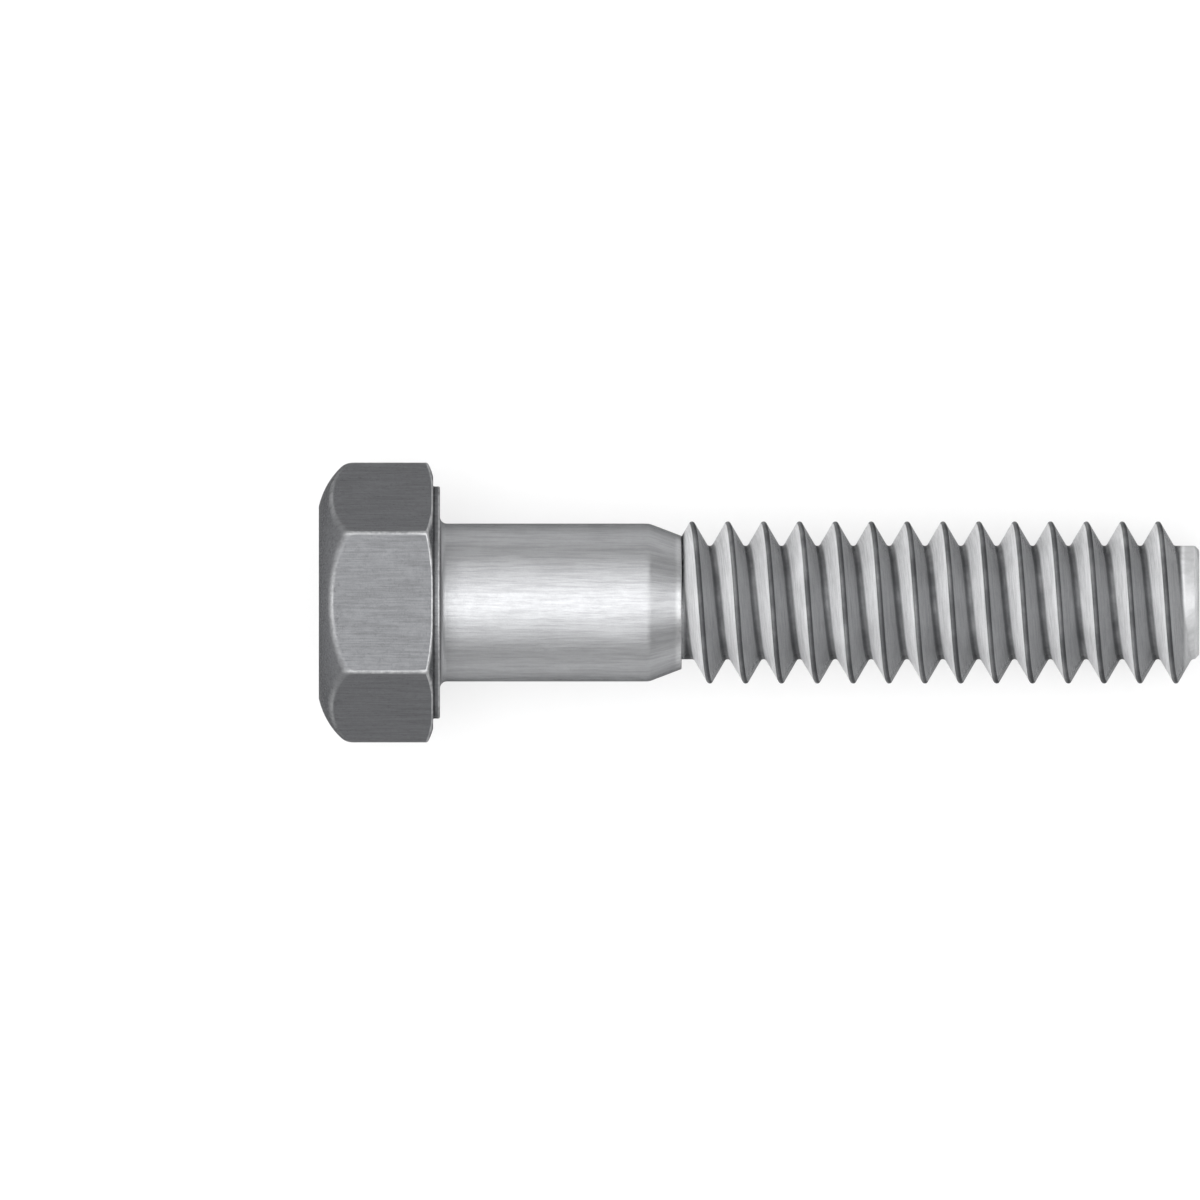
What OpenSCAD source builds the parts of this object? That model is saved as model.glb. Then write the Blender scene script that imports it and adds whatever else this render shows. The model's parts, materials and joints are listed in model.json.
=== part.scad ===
// Hex head cap screw: a crowned hexagonal head with a washer face, a plain body,
// a short taper and a coarse right-hand thread that ends in a plain stub.
// The screw is drawn along its own axis first, with the bearing face under the head at z = 0,
// the head below it and the tip above it. It is then laid down as it comes to rest.
// All sizes are in millimetres.

/* [Main sizes] */
// Length from the bearing face to the tip
screw_length = 44.45; // [32:0.01:60]
// Distance across opposite flats of the head
across_flats = 14.29; // [13.9:0.01:16]
// Height of the head with its washer face
head_height = 7.1; // [5:0.1:9]
// Length of the plain body
body_length = 12.25; // [6:0.05:16]

/* [Head] */
// Diameter of the flat circle on top of the head
top_circle_d = 11.2; // [10:0.1:12]
// Radius of the rounded chamfer that runs from that circle down over the corners
crown_r = 4.5; // [4.2:0.1:8]
// Slope of the rounded chamfer where it leaves the flat circle, in degrees
crown_slope = 12; // [4:1:20]
// Diameter of the washer face
washer_face_d = 13.6; // [12.4:0.1:13.8]
// Thickness of the washer face
washer_face_t = 0.4; // [0.2:0.05:0.8]
// Diameter at which the chamfer behind the washer face starts, so that only the corners are cut back
rear_circle_d = 14.9; // [14.5:0.05:15.5]
// Slope of the chamfer behind the washer face, in degrees
rear_slope = 22; // [12:1:40]

/* [Radial marks on the head] */
// Number of marks, each pointing at a corner
mark_count = 3; // [3, 6]
// Distance from the axis to the inner end of a mark
mark_start = 3.35; // [2:0.05:4]
// Gap between the outer end of a mark and the edge of the flat circle
mark_rim_gap = 0.15; // [0.1:0.05:0.8]
// Width of a mark
mark_w = 0.45; // [0.3:0.05:0.8]
// Depth of a mark
mark_depth = 0.25; // [0.1:0.05:0.5]

/* [Shank] */
// Diameter of the plain body
body_d = 9.25; // [9.1:0.01:9.5]
// Radius of the fillet under the head
fillet_r = 0.4; // [0.2:0.05:0.8]
// Length of the taper between the body and the thread
taper_length = 1.9; // [1.2:0.05:3]
// Diameter at the thin end of the taper
neck_d = 7.8; // [7.6:0.05:8.6]

/* [Thread] */
// Diameter over the crests
thread_d = 9.49; // [9.2:0.01:9.6]
// Diameter at the root
root_d = 6.65; // [6.5:0.05:7.2]
// Distance from crest to crest
pitch = 2.1; // [2.05:0.01:2.6]
// Width of the flat on a crest
crest_w = 0.18; // [0.1:0.01:0.24]
// Angle between a flank and the plane across the axis, in degrees
flank_angle = 30; // [27:1:30]
// Distance from the thin end of the taper to the first full crest
first_crest = 0.6; // [0.6:0.05:1.5]
// Turns over which the ridge grows out of the shoulder
run_in_turns = 0.25; // [0.25:0.25:0.5]
// Turns over which the ridge sinks back into the core near the tip
run_out_turns = 0.25; // [0.25:0.25:1]
// Distance from the end of the ridge to the tip
stub_length = 0.8; // [0.8:0.05:3]
// Chamfer on the edge of the tip
tip_chamfer = 0.25; // [0.1:0.05:0.35]
// Flat steps in one turn of the thread
turn_steps = 48; // [24, 36, 48]

/* [Hidden] */
$fn = 96;

// Distance across opposite corners of the head
across_corners = across_flats / cos(30);
// How far the thread's core reaches into the taper, and a cut past the surface that it starts from
bite = 1;
// Height at which the taper ends in a flat shoulder
shoulder_z = body_length + taper_length;
// Height of the first full crest, at the side where the angle is 90 degrees
first_crest_z = shoulder_z + first_crest;
root_r = root_d / 2;
thread_depth = (thread_d - root_d) / 2;
// Turns of the ridge past the first full crest, in whole steps
crest_turns = floor((screw_length - stub_length - first_crest_z) / pitch * turn_steps + 0.01) / turn_steps;
// Steps in the whole ridge, in its run-in and in its run-out
run_in_steps = run_in_turns * turn_steps;
run_out_steps = run_out_turns * turn_steps;
ridge_steps = round((run_in_turns + crest_turns) * turn_steps);
// Height that the ridge still has where it starts and ends, as a share of its full height
end_share = 0.03;
// Points in one section of the ridge, and the number of its last one
ridge_points = 4;
upper_foot = ridge_points - 1;

// At rest the middle of one flat's rear edge and a full crest near the tip touch the ground.
// The flat faces along +X of the upright screw, where the crest has turned three quarters past 90 degrees.
rest_flat_r = across_flats / 2;
rest_flat_z = -washer_face_t - max(0, rest_flat_r - rear_circle_d / 2) * tan(rear_slope);
rest_crest_turns = floor(crest_turns - run_out_turns + 0.25) - 0.25;
rest_crest_z = first_crest_z + pitch * rest_crest_turns + crest_w / 2;
// How far the tip points below the level
rest_tilt = atan((rest_flat_r - thread_d / 2) / (rest_crest_z - rest_flat_z));
// Height of the axis over the ground at the bearing face
rest_height = rest_flat_r * cos(rest_tilt) + rest_flat_z * sin(rest_tilt);
// Ends of the laid screw along X, counted from the bearing face
rest_x_min = -head_height * cos(rest_tilt) - top_circle_d / 2 * sin(rest_tilt);
rest_x_max = screw_length * cos(rest_tilt) + (root_r - tip_chamfer) * sin(rest_tilt);

// Half section of the blank before its flats are formed: crowned head, washer face, fillet, body and taper
module blank_section() {
    reach = across_corners;
    body_r = body_d / 2;
    fillet_x = body_r + fillet_r;
    crown_x = top_circle_d / 2 - crown_r * sin(crown_slope);
    crown_y = crown_r * cos(crown_slope) - head_height;
    intersection() {
        difference() {
            polygon([
                [0, -head_height],
                [reach, -head_height],
                [reach, -washer_face_t - (reach - rear_circle_d / 2) * tan(rear_slope)],
                [rear_circle_d / 2, -washer_face_t],
                [washer_face_d / 2, -washer_face_t],
                [washer_face_d / 2, 0],
                [fillet_x, 0],
                [fillet_x, fillet_r],
                [body_r, fillet_r],
                [body_r, body_length],
                [neck_d / 2, shoulder_z],
                [0, shoulder_z]
            ]);
            translate([fillet_x, fillet_r]) circle(fillet_r);
        }
        union() {
            translate([crown_x, crown_y]) circle(crown_r);
            translate([0, crown_y]) square([reach, shoulder_z - crown_y]);
            translate([0, -head_height]) square([crown_x, head_height]);
        }
    }
}

module radial_marks() {
    mark_length = top_circle_d / 2 - mark_rim_gap - mark_start;
    for (i = [0 : mark_count - 1]) {
        rotate(90 + i * 360 / mark_count)
            translate([mark_start, -mark_w / 2, -head_height - bite])
                cube([mark_length, mark_w, bite + mark_depth]);
    }
}

// Head and shank as one forging. The head has flats along +X and -X and corners along +Y and -Y.
module blank() {
    color("silver")
        difference() {
            intersection() {
                translate([0, 0, -head_height])
                    rotate(30)
                        cylinder(d = across_corners, h = head_height + shoulder_z, $fn = 6);
                rotate_extrude() blank_section();
            }
            radial_marks();
        }
}

// A share that rises smoothly from 0 to 1 as u does
function ease(u) = let (v = min(max(u, 0), 1)) v * v * (3 - 2 * v);

// Height of the ridge at a step, full between its run-in and its run-out
function ridge_height(step) =
    thread_depth * max(end_share, min(ease(step / run_in_steps), ease((ridge_steps - step) / run_out_steps)));

function step_angle(step) = 90 + 360 * (step / turn_steps - run_in_turns);
function step_z(step) = first_crest_z + pitch * (step / turn_steps - run_in_turns);
function polar(r, angle, z) = [r * cos(angle), r * sin(angle), z];

// The four points of the ridge's section at a step: lower foot, lower crest, upper crest, upper foot
function ridge_section(step) =
    let (
        h = ridge_height(step),
        a = step_angle(step),
        z = step_z(step),
        top = crest_w / 2,
        foot = top + h * tan(flank_angle)
    )
    [
        polar(root_r, a, z - foot),
        polar(root_r + h, a, z - top),
        polar(root_r + h, a, z + top),
        polar(root_r, a, z + foot)
    ];

function core_ring(first_step, r, z) = [for (i = [0 : turn_steps - 1]) polar(r, step_angle(first_step + i), z)];

// Two triangles between a lower and an upper line, from one step to the next
function strip(low, high, next_low, next_high) = [[low, high, next_high], [low, next_high, next_low]];

// Number of the first point of the ridge's section at a step
function row(step) = ridge_points * step;

// Core, helical ridge and stub as one closed surface that starts inside the taper.
// The points are the ridge's sections step by step, and then three rings.
module thread() {
    n = turn_steps;
    last = ridge_steps;
    base = row(last + 1);
    collar = base + n;
    tip = collar + n;
    points = [
        for (step = [0 : last]) each ridge_section(step),
        each core_ring(0, root_r, shoulder_z - bite),
        each core_ring(last, root_r, screw_length - tip_chamfer),
        each core_ring(last, root_r - tip_chamfer, screw_length)
    ];
    flanks = [
        for (step = [0 : last - 1], side = [0 : upper_foot - 1])
            let (p = row(step) + side, q = row(step + 1) + side)
            each strip(p, p + 1, q, q + 1)
    ];
    root = [
        for (step = [0 : last - n - 1])
            let (foot = row(step) + upper_foot, next_foot = row(step + 1) + upper_foot)
            each strip(foot, row(step + n), next_foot, row(step + n + 1))
    ];
    below = [for (i = [0 : n - 2]) each strip(base + i, row(i), base + i + 1, row(i + 1))];
    above = [
        for (i = [1 : n - 1])
            let (foot = row(last - n + i) + upper_foot, next_foot = row(last - n + i + 1) + upper_foot)
            each strip(foot, collar + i, next_foot, collar + (i + 1) % n)
    ];
    chamfer = [
        for (i = [0 : n - 1])
            let (next = (i + 1) % n)
            each strip(collar + i, tip + i, collar + next, tip + next)
    ];
    ridge_ends = [
        [for (i = [0 : upper_foot]) row(1) - 1 - i],
        [for (i = [0 : upper_foot]) row(last) + i]
    ];
    // The two places where the core passes the end of the ridge
    seams = [
        [base + n - 1, row(n - 1), row(n), upper_foot, 0, base],
        [
            row(last - n + 1) + upper_foot,
            row(last - n) + upper_foot,
            row(last),
            row(last) + upper_foot,
            collar,
            collar + 1
        ]
    ];
    caps = [
        [for (i = [0 : n - 1]) base + i],
        [for (i = [n - 1 : -1 : 0]) tip + i]
    ];
    color("silver")
        polyhedron(points, concat(flanks, root, below, above, chamfer, ridge_ends, seams, caps), convexity = 20);
}

module cap_screw() {
    translate([-(rest_x_min + rest_x_max) / 2, 0, rest_height])
        rotate([0, 90 + rest_tilt, 0])
            union() {
                blank();
                thread();
            }
}

cap_screw();
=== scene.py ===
"""Looks of the hex head cap screw: one fine steel mesh with rounded edges and a rolled thread."""

import json
import math
from types import SimpleNamespace

import bmesh
import bpy
import numpy as np
from mathutils import Matrix, Vector


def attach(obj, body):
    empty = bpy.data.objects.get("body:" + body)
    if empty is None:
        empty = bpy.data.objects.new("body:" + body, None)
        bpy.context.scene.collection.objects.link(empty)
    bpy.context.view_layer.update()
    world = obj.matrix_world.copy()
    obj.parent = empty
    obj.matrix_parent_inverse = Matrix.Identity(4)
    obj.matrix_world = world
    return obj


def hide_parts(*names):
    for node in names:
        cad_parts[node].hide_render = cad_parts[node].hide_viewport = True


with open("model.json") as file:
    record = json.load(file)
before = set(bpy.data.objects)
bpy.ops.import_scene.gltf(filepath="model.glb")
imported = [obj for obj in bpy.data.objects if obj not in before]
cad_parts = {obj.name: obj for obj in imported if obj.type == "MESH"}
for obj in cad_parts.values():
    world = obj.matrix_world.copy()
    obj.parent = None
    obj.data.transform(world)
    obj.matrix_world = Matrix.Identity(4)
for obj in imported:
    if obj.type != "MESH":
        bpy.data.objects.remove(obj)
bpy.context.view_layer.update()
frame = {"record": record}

# Lengths are in millimetres down to the studio's, like the CAD model's, and MM turns them into metres
MM = 0.001

# Head
ACROSS_FLATS = 14.29
HEAD_HEIGHT = 7.1
TOP_CIRCLE_R = 5.6
CROWN_R = 4.5
CROWN_SLOPE = math.radians(12)
WASHER_FACE_R = 6.8
WASHER_FACE_T = 0.4
REAR_CIRCLE_R = 7.45
REAR_SLOPE = math.radians(22)
# How far the top lies inside the CAD model's box, and how far a face swells from its edges to its middle
TOP_INSET = 0.002
FACE_SWELL = 0.02
# Roundings of the corners between faces, of the edges where crown and chamfer meet them, and of the rear edge
CORNER_ROUND = 0.22
EDGE_BLEND = 0.3
REAR_EDGE = 0.08
# Radial marks, with the width over which their walls slope
MARK_DIRECTIONS = [math.radians(90 + 120 * i) for i in range(3)]
MARK_START = 3.35
MARK_END = 5.45
MARK_W = 0.45
MARK_DEPTH = 0.25
MARK_WALL = 0.1

# Shank
BODY_R = 4.625
BODY_LENGTH = 12.25
FILLET_R = 0.4
NECK_R = 3.9
SHOULDER_Z = 14.15
LEDGE_W = 0.2
LEDGE_ROUND = 0.06
RIM_ROUND = 0.1
BODY_END_ROUND = 1.0
NECK_ROUND = 0.08

# Thread
SCREW_LENGTH = 44.45
CREST_R = 4.745
ROOT_R = 3.325
PITCH = 2.1
CREST_W = 0.18
FLANK_ANGLE = math.radians(30)
# Height of the first full crest, and its direction round the axis
FIRST_CREST_Z = SHOULDER_Z + 0.6
FIRST_CREST_ANGLE = math.pi / 2
CREST_TURNS = 13.75
RUN_IN_TURNS = 0.25
RUN_OUT_TURNS = 0.25
TIP_CHAMFER = 0.25
# How far the core reaches into the taper, and the share of its height that the ridge keeps at its ends
CORE_OVERLAP = 1.0
END_SHARE = 0.03
# Reach of the rounding in the root, and radius of the one on the crest, each with its largest share of the
# ridge's height
ROOT_ROUND = 0.12
ROOT_ROUND_SHARE = 0.2
CREST_ROUND = 0.13
CREST_ROUND_SHARE = 0.3
# How far the rounded edges of the tip's chamfer reach outside it and inside it
TIP_EDGE_OUT = 0.08
TIP_EDGE_IN = 0.02

# Fineness of the mesh: directions round the axis in degrees, from a corner to the reach of its fine steps
CORNER_STEP = 0.5
CORNER_REACH = 8
FACE_STEP = 2
# Rings on the head's top: few in the middle, and close together where the marks are
MIDDLE_RINGS = [0.6, 1.4, 2.2, 2.8]
MARK_RINGS_START = 3.15
MARK_RINGS_END = TOP_CIRCLE_R - 0.08
MARK_RINGS_GAP = 0.07
# Steps of the crown, of the faces, of the rear chamfer and its edge, and of the shank's curves and lines
CROWN_STEPS = 40
SIDE_STEPS = 10
REAR_STEPS = 16
REAR_EDGE_STEPS = 4
LEDGE_STEPS = 4
CURVE_STEPS = 5
FILLET_STEPS = 8
BODY_STEPS = 12
TAPER_STEPS = 4
SHOULDER_RINGS = [2.6, 1.2]
# Steps of the thread: to a turn, and of its roundings and flanks
TURN_STEPS = 96
RIDGE_STEPS = 3
# Distance at which points are joined, and the angle from which an edge is shaded sharp
WELD = 0.0001
SHARP_ANGLE = math.radians(35)
# Bend of the surface per millimetre: its bounds, the shortest edge that counts, and how often it is evened
MOST_BEND = 12
SHORTEST_EDGE = 0.02
BEND_PASSES = 2

# Photograph's frame in pixels: its side, then the bearing face, the tip and the axis of the side view in it
PICTURE = 1200
BEARING_X = 440
TIP_X = 1199
AXIS_Y = 602.5
PIXEL = SCREW_LENGTH / (TIP_X - BEARING_X)

# Steel: colours of head, body, the thread's flanks painted lit where they face the head and painted shaded
# where they face the tip, and its tip, then of pits, of the painted shade in hollows and the crest's dark
# line, and of rubbed edges, which are partly wear and partly a painted highlight
STEEL_HEAD = (0.17, 0.173, 0.18, 1)
STEEL_BODY = (0.41, 0.414, 0.424, 1)
STEEL_PAINTED_LIT_FLANK = (0.76, 0.764, 0.774, 1)
STEEL_PAINTED_SHADED_FLANK = (0.36, 0.364, 0.372, 1)
STEEL_TIP = (0.56, 0.564, 0.572, 1)
STEEL_PIT = (0.1, 0.101, 0.105, 1)
STEEL_SHADE_AND_SEAM = (0.035, 0.036, 0.039, 1)
STEEL_WORN_HIGHLIGHT = (0.7, 0.705, 0.71, 1)
METALLIC_HEAD = 0.8
METALLIC_BODY = 0.9
METALLIC_HEAD_FACING = 0.25
METALLIC_TIP_FACING = 0.65
EDGE_TINT = (0.06, 0.06, 0.06, 1)
ROUGHNESS_HEAD = 0.5
ROUGHNESS_BODY = 0.42
ROUGHNESS_THREAD = 0.48

# Heights along the axis between which one part of the screw passes into the next
TOP_BORDER = (-HEAD_HEIGHT + 0.02, -HEAD_HEIGHT + 0.35)
CROWN_BORDER = (-HEAD_HEIGHT + 0.6, -HEAD_HEIGHT + 1.6)
HEAD_BORDER = (-0.05, 0.05)
BODY_BORDER = (0.05, 0.5)
THREAD_BORDER = (SHOULDER_Z, SHOULDER_Z + 0.3)
ROOT_END_BORDER = (SCREW_LENGTH - 1.2, SCREW_LENGTH - 0.9)
STUB_BORDER = (SCREW_LENGTH - 0.95, SCREW_LENGTH - 0.75)
TIP_BORDER = (SCREW_LENGTH - 0.15, SCREW_LENGTH - 0.03)
# Radii of the painted shade in the root and of the dark line on the crest's seam, and the soft border between
# the flanks painted lit and those painted shaded
ROOT_RADII = (ROOT_R, ROOT_R + 0.22)
SEAM_RADII = (CREST_R - 0.15, CREST_R - 0.07)
FLANK_BORDER = (-0.25, 0.25)
# Bend of the surface per millimetre from which an edge gets its lighter rubbed look, partly a painted
# highlight, and a hollow its painted shade
EDGE_BEND = (0.4, 2.0)
HOLLOW_BEND = (0.7, 3.0)

# Grain: noise as scale per millimetre, detail and roughness, and the levels at which a pit closes
BLOTCH = (0.45, 4.0, 0.6)
MOTTLE = (2.6, 3.0, 0.6)
FINE = (14.0, 3.0, 0.65)
PITS = (5.5, 4.0, 0.7)
LINES = (1.0, 3.0, 0.7)
PIT_LEVELS = (0.3, 0.48)
# Lines: how close they lie side by side, and how soon they change along their run
BODY_LINES_CLOSE = 26.0
BODY_LINES_CHANGE = 0.35
SIDE_LINES_CLOSE = 9.0
SIDE_LINES_CHANGE = 0.4
ROLLED_LINES_CLOSE = 11.0
ROLLED_LINES_CHANGE = 2.2
ROLLED_DRIFT_X = 0.4
ROLLED_DRIFT_Y = 0.3
RINGS_CLOSE = 6.0

# Strengths, as low and high level of a noise and what it gives there
SHADE_RANGE = (0.35, 0.65, 0.0, 1.0)
STREAK_RANGE = (0.42, 0.62, 0.0, 1.0)
WORN_HIGHLIGHT_PATCHES = (0.35, 0.6, 0.45, 1.0)
HOLLOW_PATCHES = (0.3, 0.6, 0.75, 1.0)
LINE_PATCHES = (0.35, 0.6, 0.85, 1.0)
ROUGH_MOTTLE = (0.3, 0.7, -0.05, 0.06)
ROUGH_FINE = (0.3, 0.7, -0.04, 0.04)
# Strengths, as shares
BLOTCH_SHARE = 0.6
FINE_SHARE = 0.4
SHADE_PLAIN = 0.14
SHADE_THREAD = 0.2
PITS_ON_TOP = 1.0
PITS_ON_SIDE = 0.4
PIT_GRIME = 0.5
STREAK_BODY = 0.22
STREAK_HEAD = 0.5
STREAK_THREAD = 0.25
STREAK_TIP = 0.3
SHADE_AND_SEAM_SHARE = 0.9
WORN_HIGHLIGHT_SHARE = 0.45
DULL_ROUGHER = 0.14
WORN_SMOOTHER = 0.12
# Depths of the relief
MOTTLE_DEPTH = 0.02
MOTTLE_PLAIN = 0.25
MOTTLE_HEAD = 0.8
PIT_DEPTH = 0.012
SIDE_LINES_DEPTH = 0.014
BODY_LINES_DEPTH = 0.014
ROLLED_LINES_DEPTH = 0.02
RINGS_DEPTH = 0.03
RINGS_ON_TOP = 0.4
FINE_DEPTH = 0.003

# Studio, in metres. The floor is lifted to white further from the screw than its shadow reaches.
FLOOR_SIZE = 6
FLOOR_NEAR = 0.08
FLOOR_FAR = 0.3
PAPER_LIFT = 0.64
PAPER_DARK = (0.87, 0.87, 0.87, 1)
PAPER_LIGHT = (0.92, 0.92, 0.92, 1)
PAPER_TOOTH = (900.0, 3.0, 0.6)
PAPER_ROUGHNESS = 0.9
# Light of the room on the screw, and its brightness where the metal shows it above the horizon
ROOM_LIGHT = 0.1
ROOM_SEEN = 0.35
HORIZON = 0.05
# Softboxes as name, azimuth and elevation in degrees, distance, width, height, and radiance
LAMPS = [
    ("softbox_above", 180, 86.7, 0.45, 1.0, 0.45, 0.9),
    ("strip_above", 180, 86.7, 0.44, 0.34, 0.36, 1.22),
    ("softbox_head", 182, 45, 0.6, 1.2, 0.9, 1.05),
    ("softbox_tip", 0, 48, 0.6, 0.5, 0.45, 1.7),
    ("softbox_near", 268, 35, 0.6, 0.6, 0.25, 0.55),
    ("softbox_far", 92, 35, 0.6, 0.6, 0.25, 0.75),
]
# Share of an area light's power over its area that Cycles gives it as radiance
LAMP_SHARE = 0.25
CAMERA_DISTANCE = 0.3
CAMERA_CLIP_START = 0.01
CAMERA_CLIP_END = 10


def screw_matrix():
    """From the screw's own frame, in millimetres with the bearing face at z = 0, to the frame in metres."""
    bearing = next(m for m in frame["record"]["mounts"] if m["name"] == "bearing_face")
    along = Vector(bearing["axis"]).normalized()
    side = Vector((0, 1, 0))
    down = side.cross(along)
    turn = Matrix((down, side, along)).transposed().to_4x4()
    return Matrix.Translation(bearing["pos_m"]) @ turn @ Matrix.Scale(MM, 4)


TO_ROW = screw_matrix()


def smooth_step(x):
    """Rises smoothly from 0 to 1 as x does."""
    x = np.clip(x, 0, 1)
    return x * x * (3 - 2 * x)


def smooth_min(a, b, width):
    """The lower of two numbers, with their crossing rounded over the given width."""
    near = np.maximum(width - np.abs(a - b), 0) / width
    return np.minimum(a, b) - near * near * width / 4


def rounded_corner(before, corner, after, radius, steps):
    """Points of the arc that rounds a corner of a polyline."""
    corner = np.array(corner, float)
    a = np.array(before, float) - corner
    b = np.array(after, float) - corner
    a /= np.linalg.norm(a)
    b /= np.linalg.norm(b)
    half = math.acos(float(np.clip(a @ b, -1, 1))) / 2
    middle = (a + b) / np.linalg.norm(a + b)
    centre = corner + middle * radius / math.sin(half)
    start = corner + a * radius / math.tan(half) - centre
    end = corner + b * radius / math.tan(half) - centre
    first = math.atan2(start[1], start[0])
    sweep = math.atan2(end[1], end[0]) - first
    sweep = (sweep + math.pi) % (2 * math.pi) - math.pi
    turns = [first + sweep * i / steps for i in range(steps + 1)]
    return [tuple(centre + radius * np.array((math.cos(t), math.sin(t)))) for t in turns]


def line_between(start, end, steps):
    """Points between two ends, without them."""
    start, end = np.array(start, float), np.array(end, float)
    return [tuple(start + (end - start) * i / steps) for i in range(1, steps)]


def ring(radius, angles, z):
    """Points round the axis, one for each angle."""
    return np.stack([radius * np.cos(angles), radius * np.sin(angles), z + np.zeros(len(angles))], axis=1)


def bands(start, count, n):
    """Faces between rings of n points that follow each other, from the point numbered start."""
    faces = []
    for low in range(start, start + count * n, n):
        for j in range(n):
            k = (j + 1) % n
            faces.append((low + j, low + k, low + n + k, low + n + j))
    return faces


def end_fans(middle, first, last, n):
    """Faces that close the first and the last ring, round the points numbered middle and middle + 1."""
    low = [(middle, first + (j + 1) % n, first + j) for j in range(n)]
    high = [(middle + 1, last + j, last + (j + 1) % n) for j in range(n)]
    return low + high


def hex_radius(angle):
    """Distance from the axis to the hexagon's edge, with rounded corners. One flat faces angle 0."""
    inner = ACROSS_FLATS / 2
    sixth = math.pi / 3
    from_flat = np.abs((angle + sixth / 2) % sixth - sixth / 2)
    from_corner = sixth / 2 - from_flat
    arc_centre = (inner - CORNER_ROUND) / math.cos(sixth / 2)
    arc_start = math.atan((inner - CORNER_ROUND) * math.tan(sixth / 2) / inner)
    drop = FACE_SWELL * (np.tan(from_flat) / math.tan(sixth / 2)) ** 2
    flat = inner / np.cos(from_flat)
    across = arc_centre * np.sin(from_corner)
    arc = arc_centre * np.cos(from_corner) + np.sqrt(np.maximum(CORNER_ROUND**2 - across**2, 0))
    return np.where(from_flat < arc_start, flat, arc) - drop


def blank_angles():
    """Directions round the axis, closest together at the hexagon's corners."""
    fine_steps = round(CORNER_REACH / CORNER_STEP)
    face_steps = round((60 - 2 * CORNER_REACH) / FACE_STEP)
    fine = [math.radians(CORNER_STEP * i) for i in range(-fine_steps, fine_steps + 1)]
    coarse = [math.radians(CORNER_REACH + FACE_STEP * i) for i in range(1, face_steps)]
    return np.array([math.radians(30 + 60 * k) + a for k in range(6) for a in fine + coarse])


def mark_depth(x, y):
    """How far the radial marks sink the head's top at a point."""
    depth = np.zeros_like(x)
    for direction in MARK_DIRECTIONS:
        along = x * math.cos(direction) + y * math.sin(direction)
        across = np.abs(y * math.cos(direction) - x * math.sin(direction))
        wall = smooth_step((MARK_W / 2 - across) / MARK_WALL)
        ends = smooth_step((along - MARK_START) / MARK_WALL) * smooth_step((MARK_END - along) / MARK_WALL)
        depth += MARK_DEPTH * wall * ends
    return depth


def top_rings(angles):
    """The flat circle on top of the head, with its marks."""
    radii = [*MIDDLE_RINGS, *np.arange(MARK_RINGS_START, MARK_RINGS_END, MARK_RINGS_GAP)]
    rings = [ring(r, angles, -HEAD_HEIGHT + TOP_INSET) for r in radii]
    for flat in rings:
        flat[:, 2] += mark_depth(flat[:, 0], flat[:, 1])
    return rings


def head_side_profile():
    """Radius and height of the rings down the side of the head, before the hexagon trims them."""
    reach = ACROSS_FLATS / 2 / math.cos(math.pi / 6) + EDGE_BLEND
    centre_r = TOP_CIRCLE_R - CROWN_R * math.sin(CROWN_SLOPE)
    centre_z = CROWN_R * math.cos(CROWN_SLOPE) - HEAD_HEIGHT + TOP_INSET
    crown_end = math.asin(min((reach - centre_r) / CROWN_R, 1))
    crown = []
    for i in range(CROWN_STEPS + 1):
        slope = CROWN_SLOPE + (crown_end - CROWN_SLOPE) * i / CROWN_STEPS
        crown.append((centre_r + CROWN_R * math.sin(slope), centre_z - CROWN_R * math.cos(slope)))
    rear_start = (reach, -WASHER_FACE_T - (reach - REAR_CIRCLE_R) * math.tan(REAR_SLOPE))
    rear_end = (REAR_CIRCLE_R + REAR_EDGE / math.tan(REAR_SLOPE), -WASHER_FACE_T - REAR_EDGE)
    side = line_between(crown[-1], rear_start, SIDE_STEPS)
    return crown + side + [rear_start] + line_between(rear_start, rear_end, REAR_STEPS) + [rear_end]


def side_rings(angles):
    """The crown, the six flats and the chamfered rear corners, then a rounded edge all round."""
    corner_r = hex_radius(angles)
    rings = [ring(smooth_min(r, corner_r, EDGE_BLEND), angles, z) for r, z in head_side_profile()]
    last = np.hypot(rings[-1][:, 0], rings[-1][:, 1])
    seat = smooth_min(REAR_CIRCLE_R, corner_r, EDGE_BLEND) - REAR_EDGE
    chamfered = smooth_step((last - seat - REAR_EDGE) / REAR_EDGE)
    for i in range(1, REAR_EDGE_STEPS + 1):
        share = i / REAR_EDGE_STEPS
        turn = math.pi / 2 * share
        inward = chamfered * share + (1 - chamfered) * (1 - math.cos(turn))
        onward = chamfered * share + (1 - chamfered) * math.sin(turn)
        rings.append(ring(last + (seat - last) * inward, angles, -WASHER_FACE_T - REAR_EDGE * (1 - onward)))
    return rings


def shank_profile():
    """Radius and height of the rings from the washer face to the shoulder."""
    ledge = (WASHER_FACE_R + LEDGE_W, -WASHER_FACE_T)
    step = (WASHER_FACE_R, -WASHER_FACE_T)
    rim = (WASHER_FACE_R, 0)
    seat = (BODY_R, 0)
    body_end = (BODY_R, BODY_LENGTH)
    neck = (NECK_R, SHOULDER_Z)
    axis_end = (0, SHOULDER_Z)
    profile = rounded_corner(ledge, step, rim, LEDGE_ROUND, LEDGE_STEPS)
    profile += rounded_corner(step, rim, seat, RIM_ROUND, CURVE_STEPS)
    profile += rounded_corner(rim, seat, body_end, FILLET_R, FILLET_STEPS)
    profile += line_between(profile[-1], body_end, BODY_STEPS)
    profile += rounded_corner(seat, body_end, neck, BODY_END_ROUND, CURVE_STEPS)
    profile += line_between(profile[-1], neck, TAPER_STEPS)
    profile += rounded_corner(body_end, neck, axis_end, NECK_ROUND, CURVE_STEPS)
    return profile + [(r, SHOULDER_Z) for r in SHOULDER_RINGS]


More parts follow.
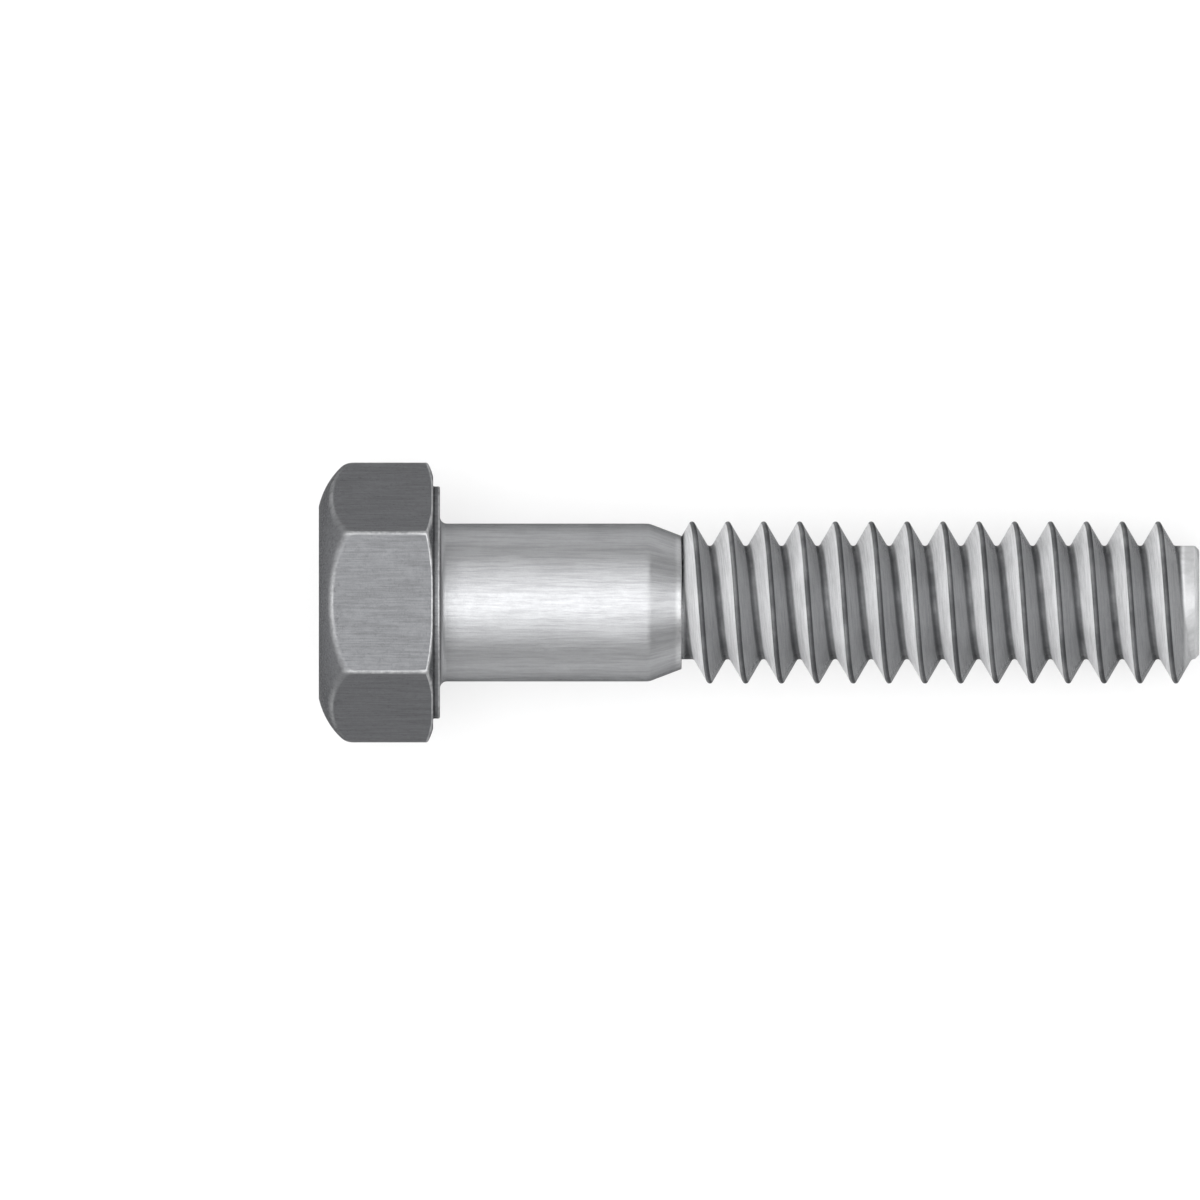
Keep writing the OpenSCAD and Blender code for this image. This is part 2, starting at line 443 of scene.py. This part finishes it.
def blank_points_and_faces():
    """Head and shank as rings of points round the axis, closed by a fan at each end."""
    angles = blank_angles()
    n = len(angles)
    rings = top_rings(angles) + side_rings(angles)
    rings += [ring(r, angles, z) for r, z in shank_profile()]
    middles = np.array([[0, 0, -HEAD_HEIGHT + TOP_INSET], [0, 0, SHOULDER_Z]])
    points = np.concatenate(rings + [middles])
    last = (len(rings) - 1) * n
    faces = bands(0, len(rings) - 1, n) + end_fans(len(points) - 2, 0, last, n)
    return points, faces


def ridge_profile(height):
    """Section of the thread's ridge: offsets along the axis and heights over the root, foot to foot."""
    foot = CREST_W / 2 + height * math.tan(FLANK_ANGLE)
    root_reach = min(ROOT_ROUND, height * ROOT_ROUND_SHARE)
    crest_r = min(CREST_ROUND, height * CREST_ROUND_SHARE)
    ground = (foot + 1, 0)
    low = (foot, 0)
    high = (CREST_W / 2, height)
    rise = rounded_corner(ground, low, high, root_reach / math.tan(FLANK_ANGLE), RIDGE_STEPS)
    crest = rounded_corner(low, high, (-CREST_W / 2, height), crest_r, RIDGE_STEPS)
    half = rise + line_between(rise[-1], crest[0], RIDGE_STEPS) + crest
    return np.array([(-x, y) for x, y in half] + half[::-1])


def ridge_row(step, last):
    """The ridge's section at one step of the helix. It grows from its first step and sinks to its last."""
    share = min(step / TURN_STEPS / RUN_IN_TURNS, (last - step) / TURN_STEPS / RUN_OUT_TURNS)
    section = ridge_profile((CREST_R - ROOT_R) * max(END_SHARE, float(smooth_step(share))))
    turns = step / TURN_STEPS - RUN_IN_TURNS
    angle = FIRST_CREST_ANGLE + 2 * math.pi * turns
    r = ROOT_R + section[:, 1]
    z = FIRST_CREST_Z + PITCH * turns + section[:, 0]
    return np.stack([r * math.cos(angle), r * math.sin(angle), z], axis=1)


def core_rings(last):
    """Rings of the core: its start inside the taper, then the stub's end with its rounded chamfer."""
    start = FIRST_CREST_ANGLE - 2 * math.pi * RUN_IN_TURNS
    first_angles = start + 2 * math.pi * np.arange(TURN_STEPS) / TURN_STEPS
    angles = first_angles + 2 * math.pi * last / TURN_STEPS
    return [
        ring(ROOT_R, first_angles, SHOULDER_Z - CORE_OVERLAP),
        ring(ROOT_R, angles, SCREW_LENGTH - TIP_CHAMFER - TIP_EDGE_OUT),
        ring(ROOT_R - TIP_EDGE_IN, angles, SCREW_LENGTH - TIP_CHAMFER + TIP_EDGE_IN),
        ring(ROOT_R - TIP_CHAMFER + TIP_EDGE_IN, angles, SCREW_LENGTH - TIP_EDGE_IN),
        ring(ROOT_R - TIP_CHAMFER - TIP_EDGE_OUT, angles, SCREW_LENGTH),
    ]


def ridge_faces(m, last):
    """The ridge's flanks and crest from row to row of m points, and the root from turn to turn."""
    faces = []
    for step in range(last):
        for i in range(m - 1):
            p = step * m + i
            faces.append((p, p + m, p + m + 1, p + 1))
    for step in range(last - TURN_STEPS):
        foot = step * m + m - 1
        above = (step + TURN_STEPS) * m
        faces.append((foot, foot + m, above + m, above))
    return faces


def ridge_end_faces(m, last, base, collar):
    """The core below the first turn and above the last, the seams between them, and the ridge's two ends."""
    n = TURN_STEPS
    foot = (last - n) * m + m - 1
    end = last * m
    faces = [(base + j, base + j + 1, (j + 1) * m, j * m) for j in range(n - 1)]
    for j in range(1, n):
        here = foot + j * m
        faces.append((here, here + m, collar + (j + 1) % n, collar + j))
    faces.append((base, 0, m - 1, n * m, (n - 1) * m, base + n - 1))
    faces.append((collar + 1, collar, end + m - 1, end, foot, foot + m))
    faces.append(tuple(range(m)))
    faces.append(tuple(range(end + m - 1, end - 1, -1)))
    return faces


def thread_points_and_faces():
    """Core, helical ridge and stub as one closed surface that starts inside the taper."""
    n = TURN_STEPS
    last = round((RUN_IN_TURNS + CREST_TURNS) * n)
    rows = [ridge_row(step, last) for step in range(last + 1)]
    rings = core_rings(last)
    middles = np.array([[0, 0, SHOULDER_Z - CORE_OVERLAP], [0, 0, SCREW_LENGTH]])
    points = np.concatenate(rows + rings + [middles])
    m = len(rows[0])
    base = m * (last + 1)
    collar = base + n
    tip = base + (len(rings) - 1) * n
    faces = ridge_faces(m, last) + ridge_end_faces(m, last, base, collar)
    faces += bands(collar, len(rings) - 2, n) + end_fans(len(points) - 2, base, tip, n)
    return points, faces


def mesh_object(name, points, faces):
    """An object from points in the screw's own frame."""
    mesh = bpy.data.meshes.new(name)
    mesh.from_pydata([TO_ROW @ Vector(p) for p in points], [], faces)
    mesh.validate()
    obj = bpy.data.objects.new(name, mesh)
    bpy.context.collection.objects.link(obj)
    return obj


def fuse(body, tool):
    """Make one closed form of two, and remove the second object."""
    join = body.modifiers.new("join", "BOOLEAN")
    join.operation = "UNION"
    join.solver = "MANIFOLD"
    join.object = tool
    bpy.context.view_layer.objects.active = body
    bpy.ops.object.modifier_apply(modifier=join.name)
    bpy.data.objects.remove(tool)


def weld(mesh):
    """Join points that fall together where the two forms meet, and split faces of many sides."""
    work = bmesh.new()
    work.from_mesh(mesh)
    bmesh.ops.remove_doubles(work, verts=work.verts, dist=WELD * MM)
    many_sided = [f for f in work.faces if len(f.verts) > 4]
    bmesh.ops.triangulate(work, faces=many_sided, ngon_method="BEAUTY")
    work.to_mesh(mesh)
    work.free()
    mesh.update()


def write_bend(mesh):
    """Write how far the surface bends at each point, out or in, as an attribute for the material."""
    n = len(mesh.vertices)
    points = np.empty(n * 3)
    normals = np.empty(n * 3)
    mesh.vertices.foreach_get("co", points)
    mesh.vertices.foreach_get("normal", normals)
    points = points.reshape(n, 3) / MM
    normals = normals.reshape(n, 3)
    edges = np.empty(len(mesh.edges) * 2, dtype=np.int64)
    mesh.edges.foreach_get("vertices", edges)
    edges = edges.reshape(-1, 2)
    a = np.concatenate([edges[:, 0], edges[:, 1]])
    b = np.concatenate([edges[:, 1], edges[:, 0]])
    step = points[b] - points[a]
    length = np.maximum(np.linalg.norm(step, axis=1), SHORTEST_EDGE)
    bend = np.clip(((normals[b] - normals[a]) * step).sum(1) / length**2, -MOST_BEND, MOST_BEND)
    count = np.maximum(np.bincount(a, minlength=n), 1)
    curve = np.bincount(a, weights=bend, minlength=n) / count
    for _ in range(BEND_PASSES):
        curve = 0.5 * curve + 0.5 * np.bincount(a, weights=curve[b], minlength=n) / count
    bent = mesh.attributes.new("bend", "FLOAT", "POINT")
    bent.data.foreach_set("value", curve.astype(np.float32))


def make_screw():
    """The blank and the rolled thread as one closed mesh."""
    screw = mesh_object("screw", *blank_points_and_faces())
    fuse(screw, mesh_object("thread_tool", *thread_points_and_faces()))
    weld(screw.data)
    write_bend(screw.data)
    screw.data.materials.clear()
    screw.data.materials.append(steel_material())
    screw.data.polygons.foreach_set("material_index", [0] * len(screw.data.polygons))
    screw.data.shade_smooth()
    screw.data.set_sharp_from_angle(angle=SHARP_ANGLE)
    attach(screw, "root")
    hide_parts("cap_screw")


class Nodes:
    """Short ways to write a material's nodes. Each takes sockets or numbers, and gives a socket."""

    def __init__(self, name):
        self.material = bpy.data.materials.new(name)
        self.material.use_nodes = True
        self.tree = self.material.node_tree
        self.shader = self.tree.nodes["Principled BSDF"]
        self.output = self.tree.nodes["Material Output"]

    def add(self, kind, **settings):
        """A new node."""
        node = self.tree.nodes.new(kind)
        for name, value in settings.items():
            setattr(node, name, value)
        return node

    def join(self, value, socket):
        """Link a socket, or set a number or colour on it."""
        if isinstance(value, bpy.types.NodeSocket):
            self.tree.links.new(value, socket)
        else:
            socket.default_value = value

    def math(self, operation, a, b=0.0, clamp=False):
        """One step of arithmetic."""
        node = self.add("ShaderNodeMath", operation=operation, use_clamp=clamp)
        self.join(a, node.inputs[0])
        self.join(b, node.inputs[1])
        return node.outputs[0]

    def times(self, a, b, clamp=False):
        """Product."""
        return self.math("MULTIPLY", a, b, clamp)

    def plus(self, a, b):
        """Sum."""
        return self.math("ADD", a, b)

    def minus(self, a, b):
        """Difference."""
        return self.math("SUBTRACT", a, b)

    def rest(self, a):
        """What a share leaves of 1."""
        return self.minus(1.0, a)

    def share(self, value, low, high):
        """Rises smoothly from 0 at low to 1 at high."""
        node = self.add("ShaderNodeMapRange", interpolation_type="SMOOTHSTEP")
        self.join(value, node.inputs["Value"])
        self.join(low, node.inputs["From Min"])
        self.join(high, node.inputs["From Max"])
        return node.outputs["Result"]

    def ramp(self, value, low, high, out_low, out_high):
        """Runs from out_low to out_high, without going past either."""
        node = self.add("ShaderNodeMapRange")
        self.join(value, node.inputs["Value"])
        self.join(low, node.inputs["From Min"])
        self.join(high, node.inputs["From Max"])
        self.join(out_low, node.inputs["To Min"])
        self.join(out_high, node.inputs["To Max"])
        return node.outputs["Result"]

    def between(self, share, a, b):
        """A number between two."""
        node = self.add("ShaderNodeMix", data_type="FLOAT")
        self.join(share, node.inputs[0])
        self.join(a, node.inputs[2])
        self.join(b, node.inputs[3])
        return node.outputs[0]

    def blend(self, share, a, b):
        """A colour between two."""
        node = self.add("ShaderNodeMix", data_type="RGBA")
        self.join(share, node.inputs[0])
        self.join(a, node.inputs[6])
        self.join(b, node.inputs[7])
        return node.outputs[2]

    def noise(self, vector, scale, detail, roughness):
        """Noise around 0.5."""
        node = self.add("ShaderNodeTexNoise")
        self.join(vector, node.inputs["Vector"])
        node.inputs["Scale"].default_value = scale
        node.inputs["Detail"].default_value = detail
        node.inputs["Roughness"].default_value = roughness
        return node.outputs["Fac"]

    def vector(self, x, y, z):
        """Three numbers as a vector."""
        node = self.add("ShaderNodeCombineXYZ")
        self.join(x, node.inputs[0])
        self.join(y, node.inputs[1])
        self.join(z, node.inputs[2])
        return node.outputs[0]

    def bump(self, height, depth, normal=None):
        """Relief of a depth in millimetres, on top of what is there."""
        node = self.add("ShaderNodeBump")
        node.inputs["Strength"].default_value = 1
        node.inputs["Distance"].default_value = depth * MM
        self.join(height, node.inputs["Height"])
        if normal is not None:
            self.join(normal, node.inputs["Normal"])
        return node.outputs["Normal"]


def screw_space(n):
    """A point in the screw's own frame, in millimetres, with its distance and direction from the axis."""
    mapping = n.add("ShaderNodeMapping", vector_type="TEXTURE")
    n.join(n.add("ShaderNodeTexCoord").outputs["Object"], mapping.inputs["Vector"])
    mapping.inputs["Location"].default_value = TO_ROW.to_translation()
    mapping.inputs["Rotation"].default_value = TO_ROW.to_euler()
    mapping.inputs["Scale"].default_value = (MM, MM, MM)
    parts = n.add("ShaderNodeSeparateXYZ")
    n.join(mapping.outputs["Vector"], parts.inputs[0])
    at = SimpleNamespace(point=mapping.outputs["Vector"])
    at.x, at.y, at.z = parts.outputs["X"], parts.outputs["Y"], parts.outputs["Z"]
    at.r = n.math("SQRT", n.plus(n.times(at.x, at.x), n.times(at.y, at.y)))
    at.angle = n.math("ARCTAN2", at.y, at.x)
    at.cosine = n.math("COSINE", at.angle)
    at.sine = n.math("SINE", at.angle)
    return at


def screw_parts(n, at):
    """How far a point belongs to each part of the screw, from 0 to 1."""
    part = SimpleNamespace()
    part.head = n.rest(n.share(at.z, *HEAD_BORDER))
    part.top = n.rest(n.share(at.z, *TOP_BORDER))
    part.side = n.times(part.head, n.share(at.z, *CROWN_BORDER))
    part.threaded = n.share(at.z, *THREAD_BORDER)
    part.body = n.times(n.share(at.z, *BODY_BORDER), n.rest(part.threaded))
    part.stub = n.share(at.z, *STUB_BORDER)
    part.tip = n.share(at.z, *TIP_BORDER)
    part.idle = idle_flank(n, at)
    return part


def idle_flank(n, at):
    """0 on the thread's flanks that face the head, painted lit, and 1 on those that face the tip, painted
    shaded.
    """
    turns = n.math("DIVIDE", at.angle, 2 * math.pi)
    helix = n.minus(n.math("DIVIDE", at.z, PITCH), turns)
    phase = n.minus(helix, FIRST_CREST_Z / PITCH - FIRST_CREST_ANGLE / (2 * math.pi))
    return n.share(n.math("SINE", n.times(phase, 2 * math.pi)), *FLANK_BORDER)


def steel_grain(n, at):
    """Blotches and mottle everywhere, and the lines that dies, drawing, rolling and turning leave."""
    grain = SimpleNamespace()
    grain.blotch = n.noise(at.point, *BLOTCH)
    grain.mottle = n.noise(at.point, *MOTTLE)
    grain.fine = n.noise(at.point, *FINE)
    grain.pits = n.rest(n.share(n.noise(at.point, *PITS), *PIT_LEVELS))
    around_x = n.times(at.cosine, BODY_LINES_CLOSE)
    around_y = n.times(at.sine, BODY_LINES_CLOSE)
    grain.body = n.noise(n.vector(around_x, around_y, n.times(at.z, BODY_LINES_CHANGE)), *LINES)
    side_x = n.times(at.x, SIDE_LINES_CLOSE)
    side_y = n.times(at.y, SIDE_LINES_CLOSE)
    grain.side = n.noise(n.vector(side_x, side_y, n.times(at.z, SIDE_LINES_CHANGE)), *LINES)
    sweep_x = n.plus(n.times(at.cosine, ROLLED_LINES_CHANGE), n.times(at.z, ROLLED_DRIFT_X))
    sweep_y = n.minus(n.times(at.sine, ROLLED_LINES_CHANGE), n.times(at.z, ROLLED_DRIFT_Y))
    grain.rolled = n.noise(n.vector(n.times(at.r, ROLLED_LINES_CLOSE), sweep_x, sweep_y), *LINES)
    grain.rings = n.noise(n.vector(n.times(at.r, RINGS_CLOSE), 0.0, 0.0), *LINES)
    return grain


def rubbed_edges_and_highlight(n, bend, part, grain):
    """Share of lighter metal on the edges of head and body: partly rubbed bare, partly a painted highlight.
    """
    edge = n.times(n.share(bend, *EDGE_BEND), n.rest(part.threaded))
    return n.times(edge, n.ramp(grain.mottle, *WORN_HIGHLIGHT_PATCHES), clamp=True)


def dull_hollows(n, bend, at, part, grain):
    """Share of painted shade in the hollows of head and body and the thread's root, and of a dark crest seam.
    """
    hollow = n.times(n.share(n.times(bend, -1.0), *HOLLOW_BEND), n.rest(part.threaded))
    hollow = n.times(hollow, n.ramp(grain.mottle, *HOLLOW_PATCHES))
    root = n.times(part.threaded, n.rest(n.share(at.r, *ROOT_RADII)))
    root = n.times(root, n.rest(n.share(at.z, *ROOT_END_BORDER)))
    seam = n.times(part.threaded, n.share(at.r, *SEAM_RADII))
    lines = n.times(n.math("MAXIMUM", root, seam), n.ramp(grain.blotch, *LINE_PATCHES))
    return n.math("MAXIMUM", hollow, lines, clamp=True)


def steel_wear_and_painted_light(n, at, part, grain):
    """Pits on the forged head, rubbed edges partly painted as a highlight, and painted shade in hollows, by
    how far the surface bends.
    """
    bend = n.add("ShaderNodeAttribute", attribute_name="bend").outputs["Fac"]
    wear_and_painted_light = SimpleNamespace()
    wear_and_painted_light.pitted = n.times(n.times(part.head, grain.pits), n.between(part.side, PITS_ON_TOP, PITS_ON_SIDE))
    wear_and_painted_light.worn = rubbed_edges_and_highlight(n, bend, part, grain)
    wear_and_painted_light.dull = dull_hollows(n, bend, at, part, grain)
    return wear_and_painted_light


def steel_colour(n, part, grain, wear_and_painted_light):
    """Each part's own grey, with the thread's flanks painted lit and painted shaded, then uneven tone, pits,
    streaks, painted shade in hollows, and rubbed edges that are partly a painted highlight, over it.
    """
    # Painted light and shade: flanks facing the head are lighter and those facing the tip darker, as if lit
    # from the head's side.
    thread = n.blend(part.stub, n.blend(part.idle, STEEL_PAINTED_LIT_FLANK, STEEL_PAINTED_SHADED_FLANK), STEEL_TIP)
    colour = n.blend(part.threaded, n.blend(part.head, STEEL_BODY, STEEL_HEAD), thread)
    shade = n.plus(n.times(grain.blotch, BLOTCH_SHARE), n.times(grain.fine, FINE_SHARE))
    shade = n.times(n.ramp(shade, *SHADE_RANGE), n.between(part.threaded, SHADE_PLAIN, SHADE_THREAD))
    colour = n.blend(shade, colour, STEEL_PIT)
    colour = n.blend(n.times(wear_and_painted_light.pitted, PIT_GRIME), colour, STEEL_PIT)
    streaks = [
        (grain.body, part.body, STREAK_BODY),
        (grain.side, part.head, STREAK_HEAD),
        (grain.rolled, part.threaded, STREAK_THREAD),
        (grain.rings, part.tip, STREAK_TIP),
    ]
    for lines, where, amount in streaks:
        streak = n.times(n.ramp(lines, *STREAK_RANGE), n.times(where, amount))
        colour = n.blend(streak, colour, STEEL_PIT)
    # Painted shade in the hollows and the thread's root, and a dark line on the crest's seam.
    colour = n.blend(n.times(wear_and_painted_light.dull, SHADE_AND_SEAM_SHARE), colour, STEEL_SHADE_AND_SEAM)
    # Lighter rubbed edges: partly wear, partly a painted highlight.
    return n.blend(n.times(wear_and_painted_light.worn, WORN_HIGHLIGHT_SHARE), colour, STEEL_WORN_HIGHLIGHT)


def steel_metallic(n, part):
    """The thread's flanks shine less like metal than head and body do, those facing the head least."""
    flank = n.between(part.idle, METALLIC_HEAD_FACING, METALLIC_TIP_FACING)
    return n.between(part.threaded, n.between(part.head, METALLIC_BODY, METALLIC_HEAD), flank)


def steel_roughness(n, part, grain, wear_and_painted_light):
    """Each part's own roughness, uneven, rougher in hollows and smoother on rubbed edges."""
    rough = n.between(part.head, ROUGHNESS_BODY, ROUGHNESS_HEAD)
    rough = n.between(part.threaded, rough, ROUGHNESS_THREAD)
    rough = n.plus(rough, n.ramp(grain.mottle, *ROUGH_MOTTLE))
    rough = n.plus(rough, n.ramp(grain.fine, *ROUGH_FINE))
    rough = n.plus(rough, n.times(wear_and_painted_light.dull, DULL_ROUGHER))
    return n.minus(rough, n.times(wear_and_painted_light.worn, WORN_SMOOTHER))


def steel_relief(n, part, grain, wear_and_painted_light):
    """Mottle and pits of the forging, and the lines of each part, as fine relief."""
    rings_where = n.math("MAXIMUM", part.tip, n.times(part.top, RINGS_ON_TOP))
    normal = n.bump(n.times(grain.mottle, n.between(part.head, MOTTLE_PLAIN, MOTTLE_HEAD)), MOTTLE_DEPTH)
    normal = n.bump(n.times(wear_and_painted_light.pitted, -1.0), PIT_DEPTH, normal)
    normal = n.bump(n.times(grain.side, part.side), SIDE_LINES_DEPTH, normal)
    normal = n.bump(n.times(grain.body, part.body), BODY_LINES_DEPTH, normal)
    normal = n.bump(n.times(grain.rolled, part.threaded), ROLLED_LINES_DEPTH, normal)
    normal = n.bump(n.times(grain.rings, rings_where), RINGS_DEPTH, normal)
    return n.bump(grain.fine, FINE_DEPTH, normal)


def steel_material():
    """Satin steel: forged head, drawn body, rolled thread and turned tip."""
    n = Nodes("steel")
    at = screw_space(n)
    part = screw_parts(n, at)
    grain = steel_grain(n, at)
    wear_and_painted_light = steel_wear_and_painted_light(n, at, part, grain)
    n.join(steel_colour(n, part, grain, wear_and_painted_light), n.shader.inputs["Base Color"])
    n.join(steel_metallic(n, part), n.shader.inputs["Metallic"])
    n.join(steel_roughness(n, part, grain, wear_and_painted_light), n.shader.inputs["Roughness"])
    n.join(steel_relief(n, part, grain, wear_and_painted_light), n.shader.inputs["Normal"])
    n.shader.inputs["Specular Tint"].default_value = EDGE_TINT
    return n.material


def seen_directly(tree):
    """1 for what the camera sees, straight or in the gloss of the metal, and 0 for light on things."""
    rays = tree.nodes.new("ShaderNodeLightPath").outputs
    total = rays["Is Camera Ray"]
    for name in ["Is Glossy Ray", "Is Transmission Ray"]:
        add = tree.nodes.new("ShaderNodeMath")
        add.operation = "ADD"
        add.use_clamp = True
        tree.links.new(total, add.inputs[0])
        tree.links.new(rays[name], add.inputs[1])
        total = add.outputs[0]
    return total


def paper_material():
    """Matt white paper. What the camera and the metal see of it is lifted to white, and keeps the shadow."""
    n = Nodes("paper")
    place = n.add("ShaderNodeTexCoord").outputs["Object"]
    n.join(n.blend(n.noise(place, *PAPER_TOOTH), PAPER_DARK, PAPER_LIGHT), n.shader.inputs["Base Color"])
    n.shader.inputs["Roughness"].default_value = PAPER_ROUGHNESS
    away = n.add("ShaderNodeVectorMath", operation="LENGTH")
    n.join(place, away.inputs[0])
    lift = n.ramp(away.outputs["Value"], FLOOR_NEAR, FLOOR_FAR, PAPER_LIFT, 1.0)
    glow = n.add("ShaderNodeEmission")
    glow.inputs["Strength"].default_value = 1
    mix = n.add("ShaderNodeMixShader")
    n.join(n.times(seen_directly(n.tree), lift), mix.inputs[0])
    n.join(n.shader.outputs[0], mix.inputs[1])
    n.join(glow.outputs[0], mix.inputs[2])
    n.join(mix.outputs[0], n.output.inputs["Surface"])
    return n.material


def make_floor():
    """The sheet of paper that the screw lies on."""
    mesh = bpy.data.meshes.new("floor")
    half = FLOOR_SIZE / 2
    corners = [(-half, -half, 0), (half, -half, 0), (half, half, 0), (-half, half, 0)]
    mesh.from_pydata(corners, [], [(0, 1, 2, 3)])
    floor = bpy.data.objects.new("floor", mesh)
    bpy.context.collection.objects.link(floor)
    mesh.materials.append(paper_material())


def area_light(name, azimuth, elevation, distance, width, height, radiance):
    """A softbox aimed at the middle of the screw. Azimuth 0 is at +X and 90 at +Y."""
    a, e = math.radians(azimuth), math.radians(elevation)
    place = distance * Vector((math.cos(e) * math.cos(a), math.cos(e) * math.sin(a), math.sin(e)))
    data = bpy.data.lights.new(name, "AREA")
    data.shape = "RECTANGLE"
    data.size = width
    data.size_y = height
    data.energy = radiance * width * height / LAMP_SHARE
    lamp = bpy.data.objects.new(name, data)
    bpy.context.collection.objects.link(lamp)
    lamp.location = place
    lamp.rotation_mode = "QUATERNION"
    lamp.rotation_quaternion = (-place).to_track_quat("-Z", "Y")


def make_world():
    """A dim room. Seen directly, it is grey above the horizon, and white below it as the floor is."""
    world = bpy.data.worlds.new("studio")
    world.use_nodes = True
    tree = world.node_tree
    back = tree.nodes["Background"]
    back.inputs["Strength"].default_value = 1
    place = tree.nodes.new("ShaderNodeSeparateXYZ")
    tree.links.new(tree.nodes.new("ShaderNodeTexCoord").outputs["Generated"], place.inputs[0])
    room = tree.nodes.new("ShaderNodeMapRange")
    tree.links.new(place.outputs["Z"], room.inputs["Value"])
    room.inputs["From Min"].default_value = 0
    room.inputs["From Max"].default_value = HORIZON
    room.inputs["To Min"].default_value = 1
    room.inputs["To Max"].default_value = ROOM_SEEN
    mix = tree.nodes.new("ShaderNodeMix")
    tree.links.new(seen_directly(tree), mix.inputs[0])
    mix.inputs[2].default_value = ROOM_LIGHT
    tree.links.new(room.outputs["Result"], mix.inputs[3])
    tree.links.new(mix.outputs[0], back.inputs["Color"])
    bpy.context.scene.world = world


def make_camera():
    """Looks square onto the screw's axis from above, with the head on the left as in the photograph."""
    data = bpy.data.cameras.new("camera")
    data.type = "ORTHO"
    data.ortho_scale = PICTURE * PIXEL * MM
    data.clip_start = CAMERA_CLIP_START
    data.clip_end = CAMERA_CLIP_END
    camera = bpy.data.objects.new("camera", data)
    bpy.context.collection.objects.link(camera)
    middle = TO_ROW @ Vector((0, (AXIS_Y - PICTURE / 2) * PIXEL, (PICTURE / 2 - BEARING_X) * PIXEL))
    right = (TO_ROW.to_3x3() @ Vector((0, 0, 1))).normalized()
    up = Vector((0, 1, 0))
    back = right.cross(up)
    turn = Matrix((right, up, back)).transposed().to_4x4()
    camera.matrix_world = Matrix.Translation(middle + back * CAMERA_DISTANCE) @ turn
    bpy.context.scene.camera = camera


make_camera()
make_floor()
for lamp_settings in LAMPS:
    area_light(*lamp_settings)
make_world()
make_screw()
bpy.context.scene.view_settings.view_transform = "Standard"
